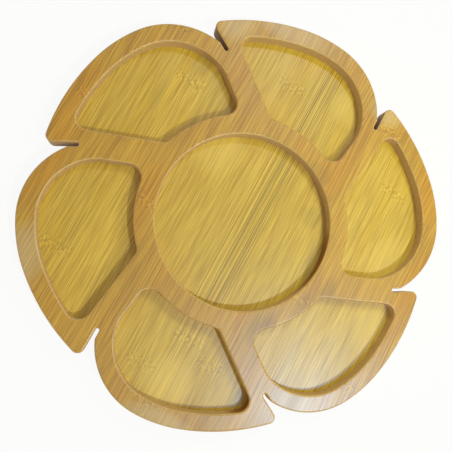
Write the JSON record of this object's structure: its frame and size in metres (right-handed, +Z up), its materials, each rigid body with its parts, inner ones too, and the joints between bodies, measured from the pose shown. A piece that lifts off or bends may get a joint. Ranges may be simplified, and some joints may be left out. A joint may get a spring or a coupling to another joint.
{
  "type": "divided snack tray",
  "caption": "Flat petal-shaped bamboo serving tray with a round centre compartment and petal compartments around it, made of edge-glued laths.",
  "frame": {"origin": "centre of the underside, on the surface that the tray rests on", "axes": "+Z up out of the compartments, +X along the grain of all laths and along the axis of petal compartment 1"},
  "size_m": [0.3, 0.2904, 0.015],
  "materials": {
    "base_bamboo": "satin oiled bamboo, yellowish",
    "frame_bamboo": "satin oiled bamboo, warm tan"
  },
  "bodies": {
    "root": {"base_lath_left_1_a": "base_bamboo", "base_lath_left_2_a": "base_bamboo", "base_lath_left_3_a": "base_bamboo", "base_lath_left_4_a": "base_bamboo", "base_lath_left_4_b": "base_bamboo", "base_lath_left_5_a": "base_bamboo", "base_lath_left_6_a": "base_bamboo", "base_lath_left_7_a": "base_bamboo", "base_lath_left_7_b": "base_bamboo", "base_lath_right_1_a": "base_bamboo", "base_lath_right_2_a": "base_bamboo", "base_lath_right_3_a": "base_bamboo", "base_lath_right_4_a": "base_bamboo", "base_lath_right_5_a": "base_bamboo", "base_lath_right_5_b": "base_bamboo", "base_lath_right_6_a": "base_bamboo", "base_lath_right_7_a": "base_bamboo", "base_lath_right_7_b": "base_bamboo", "frame_lath_left_1_a": "frame_bamboo", "frame_lath_left_1_b": "frame_bamboo", "frame_lath_left_1_c": "frame_bamboo", "frame_lath_left_1_d": "frame_bamboo", "frame_lath_left_2_a": "frame_bamboo", "frame_lath_left_2_b": "frame_bamboo", "frame_lath_left_2_c": "frame_bamboo", "frame_lath_left_3_a": "frame_bamboo", "frame_lath_left_3_b": "frame_bamboo", "frame_lath_left_4_a": "frame_bamboo", "frame_lath_left_4_b": "frame_bamboo", "frame_lath_left_4_c": "frame_bamboo", "frame_lath_left_4_d": "frame_bamboo", "frame_lath_left_5_a": "frame_bamboo", "frame_lath_left_5_b": "frame_bamboo", "frame_lath_left_5_c": "frame_bamboo", "frame_lath_left_6_a": "frame_bamboo", "frame_lath_left_7_a": "frame_bamboo", "frame_lath_middle_a": "frame_bamboo", "frame_lath_middle_b": "frame_bamboo", "frame_lath_middle_c": "frame_bamboo", "frame_lath_middle_d": "frame_bamboo", "frame_lath_right_1_a": "frame_bamboo", "frame_lath_right_1_b": "frame_bamboo", "frame_lath_right_1_c": "frame_bamboo", "frame_lath_right_1_d": "frame_bamboo", "frame_lath_right_2_a": "frame_bamboo", "frame_lath_right_2_b": "frame_bamboo", "frame_lath_right_2_c": "frame_bamboo", "frame_lath_right_3_a": "frame_bamboo", "frame_lath_right_3_b": "frame_bamboo", "frame_lath_right_4_a": "frame_bamboo", "frame_lath_right_4_b": "frame_bamboo", "frame_lath_right_4_c": "frame_bamboo", "frame_lath_right_4_d": "frame_bamboo", "frame_lath_right_5_a": "frame_bamboo", "frame_lath_right_5_b": "frame_bamboo", "frame_lath_right_5_c": "frame_bamboo", "frame_lath_right_6_a": "frame_bamboo", "frame_lath_right_7_a": "frame_bamboo"}
  },
  "joints": []
}
